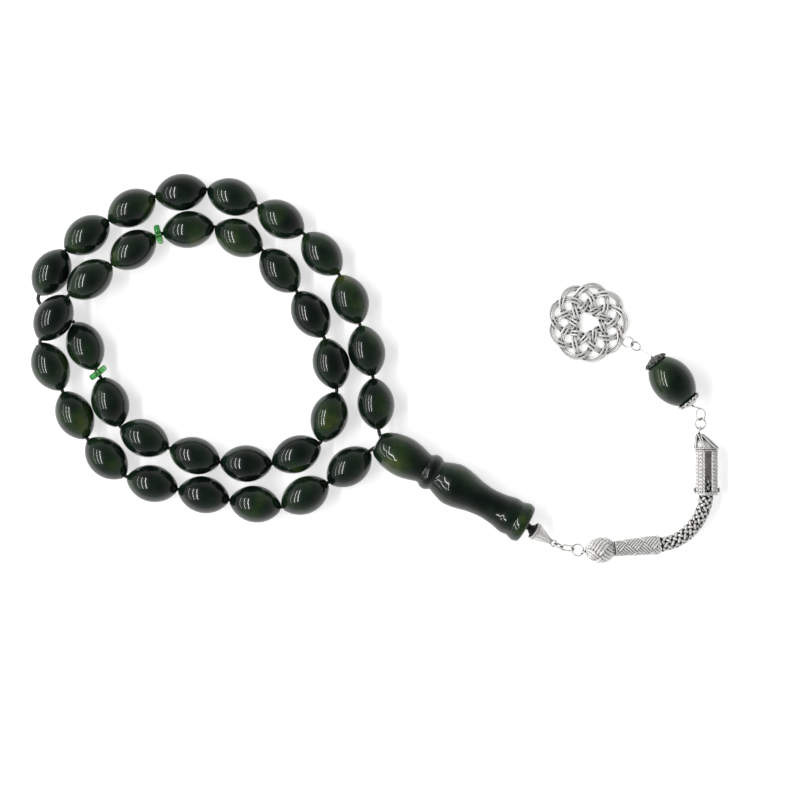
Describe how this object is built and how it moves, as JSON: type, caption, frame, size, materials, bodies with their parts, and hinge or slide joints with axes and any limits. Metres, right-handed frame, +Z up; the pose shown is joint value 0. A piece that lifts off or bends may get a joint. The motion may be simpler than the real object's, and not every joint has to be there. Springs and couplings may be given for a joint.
{
  "type": "prayer beads",
  "caption": "Strand of glossy dark green prayer beads laid flat, with a turned imam bead and a woven silver tassel that ends in a drop bead and an openwork medallion.",
  "frame": {"origin": "under the middle of the whole strand, on the surface it lies on", "axes": "+X from the loops of beads towards the tassel, +Z up from the surface, +Y towards the middle of the long row of beads"},
  "size_m": [0.1848, 0.1044, 0.0126],
  "materials": {
    "resin": "polished, near black green",
    "green_glass": "polished, clear",
    "silver": "antiqued, dark in the hollows",
    "thread": "twisted thread"
  },
  "bodies": {
    "strand": {"string": "thread", "end_knot": "thread", "imam_bead": "resin"},
    "cone": {"cone_cap": "silver"},
    "small_ring": {"small_link": "silver"},
    "oval_ring": {"oval_link": "silver"},
    "round_ring": {"round_link": "silver"},
    "woven_end": {"woven_ball": "silver", "woven_sleeve": "silver"},
    "braid_1": {"braid_1": "silver"},
    "braid_2": {"braid_2": "silver"},
    "braid_3": {"braid_3": "silver"},
    "braid_4": {"braid_4": "silver"},
    "braid_5": {"braid_5": "silver"},
    "slotted": {"braid_end": "silver", "slotted_sleeve": "silver", "sleeve_pin": "silver", "petal_cone": "silver"},
    "joining_ring": {"joining_link": "silver"},
    "drop": {"drop_wire": "silver"},
    "drop_bead": {"drop_bead": "resin", "lower_cap": "silver", "upper_cap": "silver"},
    "medallion": {"medallion": "silver"},
    "bead_01": {"bead_01": "resin"},
    "bead_02": {"bead_02": "resin"},
    "bead_03": {"bead_03": "resin"},
    "bead_04": {"bead_04": "resin"},
    "bead_05": {"bead_05": "resin"},
    "bead_06": {"bead_06": "resin"},
    "bead_07": {"bead_07": "resin"},
    "bead_08": {"bead_08": "resin"},
    "bead_09": {"bead_09": "resin"},
    "bead_10": {"bead_10": "resin"},
    "bead_11": {"bead_11": "resin"},
    "bead_12": {"bead_12": "resin"},
    "bead_13": {"bead_13": "resin"},
    "bead_14": {"bead_14": "resin"},
    "bead_15": {"bead_15": "resin"},
    "bead_16": {"bead_16": "resin"},
    "bead_17": {"bead_17": "resin"},
    "bead_18": {"bead_18": "resin"},
    "bead_19": {"bead_19": "resin"},
    "bead_20": {"bead_20": "resin"},
    "bead_21": {"bead_21": "resin"},
    "bead_22": {"bead_22": "resin"},
    "bead_23": {"bead_23": "resin"},
    "bead_24": {"bead_24": "resin"},
    "bead_25": {"bead_25": "resin"},
    "bead_26": {"bead_26": "resin"},
    "bead_27": {"bead_27": "resin"},
    "bead_28": {"bead_28": "resin"},
    "bead_29": {"bead_29": "resin"},
    "bead_30": {"bead_30": "resin"},
    "bead_31": {"bead_31": "resin"},
    "bead_32": {"bead_32": "resin"},
    "bead_33": {"bead_33": "resin"},
    "spacer_disc_1": {"spacer_disc_1": "green_glass"},
    "spacer_disc_2": {"spacer_disc_2": "green_glass"}
  },
  "joints": [
    {"name": "link_1_cone_swing", "type": "hinge", "parent": "strand", "child": "cone", "pos_m": [0.04226, -0.0435, 0.0046], "axis": [0, 0, 1], "range_deg": [-25, 25]},
    {"name": "link_2_small_ring", "type": "hinge", "parent": "cone", "child": "small_ring", "pos_m": [0.0485, -0.04748, 0.0034], "axis": [0.5, 0.866, 0], "range_deg": [-20, 20]},
    {"name": "link_3_oval_ring", "type": "hinge", "parent": "small_ring", "child": "oval_ring", "pos_m": [0.05018, -0.04809, 0.0034], "axis": [-0.117, -0.3214, 0.9397], "range_deg": [-25, 25]},
    {"name": "link_4_round_ring", "type": "hinge", "parent": "oval_ring", "child": "round_ring", "pos_m": [0.05324, -0.04852, 0.0034], "axis": [0.0984, 0.7002, 0.7071], "range_deg": [-20, 20]},
    {"name": "link_5_woven_end", "type": "hinge", "parent": "round_ring", "child": "woven_end", "pos_m": [0.05571, -0.04932, 0.0034], "axis": [0.2904, 0.8937, -0.342], "range_deg": [-15, 25]},
    {"name": "braid_bend_1", "type": "hinge", "parent": "woven_end", "child": "braid_1", "pos_m": [0.07656, -0.0474, 0.0028], "axis": [0, 0, -1], "range_deg": [-8, 8]},
    {"name": "braid_bend_2", "type": "hinge", "parent": "braid_1", "child": "braid_2", "pos_m": [0.08016, -0.0465, 0.0028], "axis": [0, 0, -1], "range_deg": [-8, 8]},
    {"name": "braid_bend_3", "type": "hinge", "parent": "braid_2", "child": "braid_3", "pos_m": [0.08336, -0.0445, 0.0028], "axis": [0, 0, -1], "range_deg": [-8, 8]},
    {"name": "braid_bend_4", "type": "hinge", "parent": "braid_3", "child": "braid_4", "pos_m": [0.08596, -0.0417, 0.0028], "axis": [0, 0, -1], "range_deg": [-8, 8]},
    {"name": "braid_bend_5", "type": "hinge", "parent": "braid_4", "child": "braid_5", "pos_m": [0.08786, -0.0383, 0.0029], "axis": [0, 0, -1], "range_deg": [-8, 8]},
    {"name": "braid_bend_6", "type": "hinge", "parent": "braid_5", "child": "slotted", "pos_m": [0.08876, -0.0346, 0.0031], "axis": [0, 0, -1], "range_deg": [-8, 8]},
    {"name": "link_6_joining_ring", "type": "hinge", "parent": "slotted", "child": "joining_ring", "pos_m": [0.08715, -0.01568, 0.0032], "axis": [-0.171, 0.0302, 0.9848], "range_deg": [-25, 25]},
    {"name": "link_7_drop", "type": "hinge", "parent": "joining_ring", "child": "drop", "pos_m": [0.08735, -0.01339, 0.0032], "axis": [-0.9623, 0.0842, 0.2588], "range_deg": [-10, 25]},
    {"name": "link_8_medallion", "type": "hinge", "parent": "drop", "child": "medallion", "pos_m": [0.06869, 0.00668, 0.002], "axis": [-0.4096, -0.7094, 0.5736], "range_deg": [-30, 60]},
    {"name": "spin_drop_bead", "type": "hinge", "parent": "drop", "child": "drop_bead", "pos_m": [0.07936, -0.0035, 0.0056], "axis": [-0.6428, 0.766, 0], "continuous": true},
    {"name": "spin_bead_01", "type": "hinge", "parent": "strand", "child": "bead_01", "pos_m": [0.00001, -0.00955, 0.005], "axis": [-0.1029, 0.9947, 0], "continuous": true},
    {"name": "spin_bead_02", "type": "hinge", "parent": "strand", "child": "bead_02", "pos_m": [-0.00249, 0.0047, 0.005], "axis": [-0.2425, 0.9701, 0], "continuous": true},
    {"name": "spin_bead_03", "type": "hinge", "parent": "strand", "child": "bead_03", "pos_m": [-0.00699, 0.01845, 0.005], "axis": [-0.3773, 0.9261, 0], "continuous": true},
    {"name": "spin_bead_04", "type": "hinge", "parent": "strand", "child": "bead_04", "pos_m": [-0.01449, 0.0307, 0.005], "axis": [-0.6536, 0.7568, 0], "continuous": true},
    {"name": "spin_bead_05", "type": "hinge", "parent": "strand", "child": "bead_05", "pos_m": [-0.02549, 0.03995, 0.005], "axis": [-0.8575, 0.5145, 0], "continuous": true},
    {"name": "spin_bead_06", "type": "hinge", "parent": "strand", "child": "bead_06", "pos_m": [-0.03849, 0.04595, 0.005], "axis": [-0.9487, 0.3162, 0], "continuous": true},
    {"name": "spin_bead_07", "type": "hinge", "parent": "strand", "child": "bead_07", "pos_m": [-0.05224, 0.0472, 0.005], "axis": [-0.9899, -0.1414, 0], "continuous": true},
    {"name": "spin_bead_08", "type": "hinge", "parent": "strand", "child": "bead_08", "pos_m": [-0.06549, 0.04295, 0.005], "axis": [-0.8872, -0.4614, 0], "continuous": true},
    {"name": "spin_bead_09", "type": "hinge", "parent": "strand", "child": "bead_09", "pos_m": [-0.07749, 0.0357, 0.00525], "axis": [-0.8204, -0.5707, 0.0357], "continuous": true},
    {"name": "spin_bead_10", "type": "hinge", "parent": "strand", "child": "bead_10", "pos_m": [-0.08699, 0.0257, 0.005], "axis": [-0.5287, -0.8459, -0.0705], "continuous": true},
    {"name": "spin_bead_11", "type": "hinge", "parent": "strand", "child": "bead_11", "pos_m": [-0.07794, 0.006, 0.00515], "axis": [0.4058, -0.8986, 0.1667], "continuous": true},
    {"name": "spin_bead_12", "type": "hinge", "parent": "strand", "child": "bead_12", "pos_m": [-0.07119, -0.00905, 0.0055], "axis": [0.336, -0.9394, -0.0686], "continuous": true},
    {"name": "spin_bead_13", "type": "hinge", "parent": "strand", "child": "bead_13", "pos_m": [-0.06204, -0.0187, 0.005], "axis": [0.9227, -0.3856, 0], "continuous": true},
    {"name": "spin_bead_14", "type": "hinge", "parent": "strand", "child": "bead_14", "pos_m": [-0.04854, -0.0234, 0.005], "axis": [0.9631, -0.2691, 0], "continuous": true},
    {"name": "spin_bead_15", "type": "hinge", "parent": "strand", "child": "bead_15", "pos_m": [-0.03479, -0.02555, 0.005], "axis": [0.9994, -0.0359, 0], "continuous": true},
    {"name": "spin_bead_16", "type": "hinge", "parent": "strand", "child": "bead_16", "pos_m": [-0.02129, -0.02305, 0.005], "axis": [0.922, 0.3871, 0], "continuous": true},
    {"name": "spin_bead_17", "type": "hinge", "parent": "strand", "child": "bead_17", "pos_m": [-0.01249, -0.01305, 0.005], "axis": [0.2964, 0.9551, 0], "continuous": true},
    {"name": "spin_bead_18", "type": "hinge", "parent": "strand", "child": "bead_18", "pos_m": [-0.01199, 0.0012, 0.005], "axis": [-0.2425, 0.9701, 0], "continuous": true},
    {"name": "spin_bead_19", "type": "hinge", "parent": "strand", "child": "bead_19", "pos_m": [-0.01749, 0.01445, 0.005], "axis": [-0.5145, 0.8575, 0], "continuous": true},
    {"name": "spin_bead_20", "type": "hinge", "parent": "strand", "child": "bead_20", "pos_m": [-0.02574, 0.0262, 0.005], "axis": [-0.6332, 0.774, 0], "continuous": true},
    {"name": "spin_bead_21", "type": "hinge", "parent": "strand", "child": "bead_21", "pos_m": [-0.03674, 0.03495, 0.005], "axis": [-0.8944, 0.4472, 0], "continuous": true},
    {"name": "spin_bead_22", "type": "hinge", "parent": "strand", "child": "bead_22", "pos_m": [-0.05024, 0.0372, 0.005], "axis": [-0.9899, -0.1414, 0], "continuous": true},
    {"name": "spin_bead_23", "type": "hinge", "parent": "strand", "child": "bead_23", "pos_m": [-0.06499, 0.0317, 0.006], "axis": [-0.8127, -0.5653, 0.1413], "continuous": true},
    {"name": "spin_bead_24", "type": "hinge", "parent": "strand", "child": "bead_24", "pos_m": [-0.07634, 0.0237, 0.0076], "axis": [-0.8107, -0.579, 0.0869], "continuous": true},
    {"name": "spin_bead_25", "type": "hinge", "parent": "strand", "child": "bead_25", "pos_m": [-0.08614, 0.01345, 0.00725], "axis": [-0.5534, -0.8235, -0.1252], "continuous": true},
    {"name": "spin_bead_26", "type": "hinge", "parent": "strand", "child": "bead_26", "pos_m": [-0.08714, 0.00045, 0.00565], "axis": [0.4268, -0.9002, -0.0867], "continuous": true},
    {"name": "spin_bead_27", "type": "hinge", "parent": "strand", "child": "bead_27", "pos_m": [-0.08074, -0.0126, 0.005], "axis": [0.4529, -0.8916, 0], "continuous": true},
    {"name": "spin_bead_28", "type": "hinge", "parent": "strand", "child": "bead_28", "pos_m": [-0.07224, -0.0241, 0.005], "axis": [0.7138, -0.7003, 0], "continuous": true},
    {"name": "spin_bead_29", "type": "hinge", "parent": "strand", "child": "bead_29", "pos_m": [-0.05994, -0.0309, 0.005], "axis": [0.9749, -0.2228, 0], "continuous": true},
    {"name": "spin_bead_30", "type": "hinge", "parent": "strand", "child": "bead_30", "pos_m": [-0.04614, -0.0339, 0.005], "axis": [0.9795, -0.2017, 0], "continuous": true},
    {"name": "spin_bead_31", "type": "hinge", "parent": "strand", "child": "bead_31", "pos_m": [-0.03234, -0.0364, 0.005], "axis": [0.9879, -0.1552, 0], "continuous": true},
    {"name": "spin_bead_32", "type": "hinge", "parent": "strand", "child": "bead_32", "pos_m": [-0.01899, -0.03405, 0.005], "axis": [0.8787, 0.4774, 0], "continuous": true},
    {"name": "spin_bead_33", "type": "hinge", "parent": "strand", "child": "bead_33", "pos_m": [-0.00714, -0.0264, 0.005], "axis": [0.7948, 0.6069, 0], "continuous": true},
    {"name": "spin_spacer_disc_1", "type": "hinge", "parent": "strand", "child": "spacer_disc_1", "pos_m": [-0.07439, -0.0012, 0.00615], "axis": [0.5957, -0.7943, -0.1191], "continuous": true},
    {"name": "spin_spacer_disc_2", "type": "hinge", "parent": "strand", "child": "spacer_disc_2", "pos_m": [-0.05824, 0.03595, 0.005], "axis": [-0.9701, -0.2425, 0], "continuous": true}
  ]
}
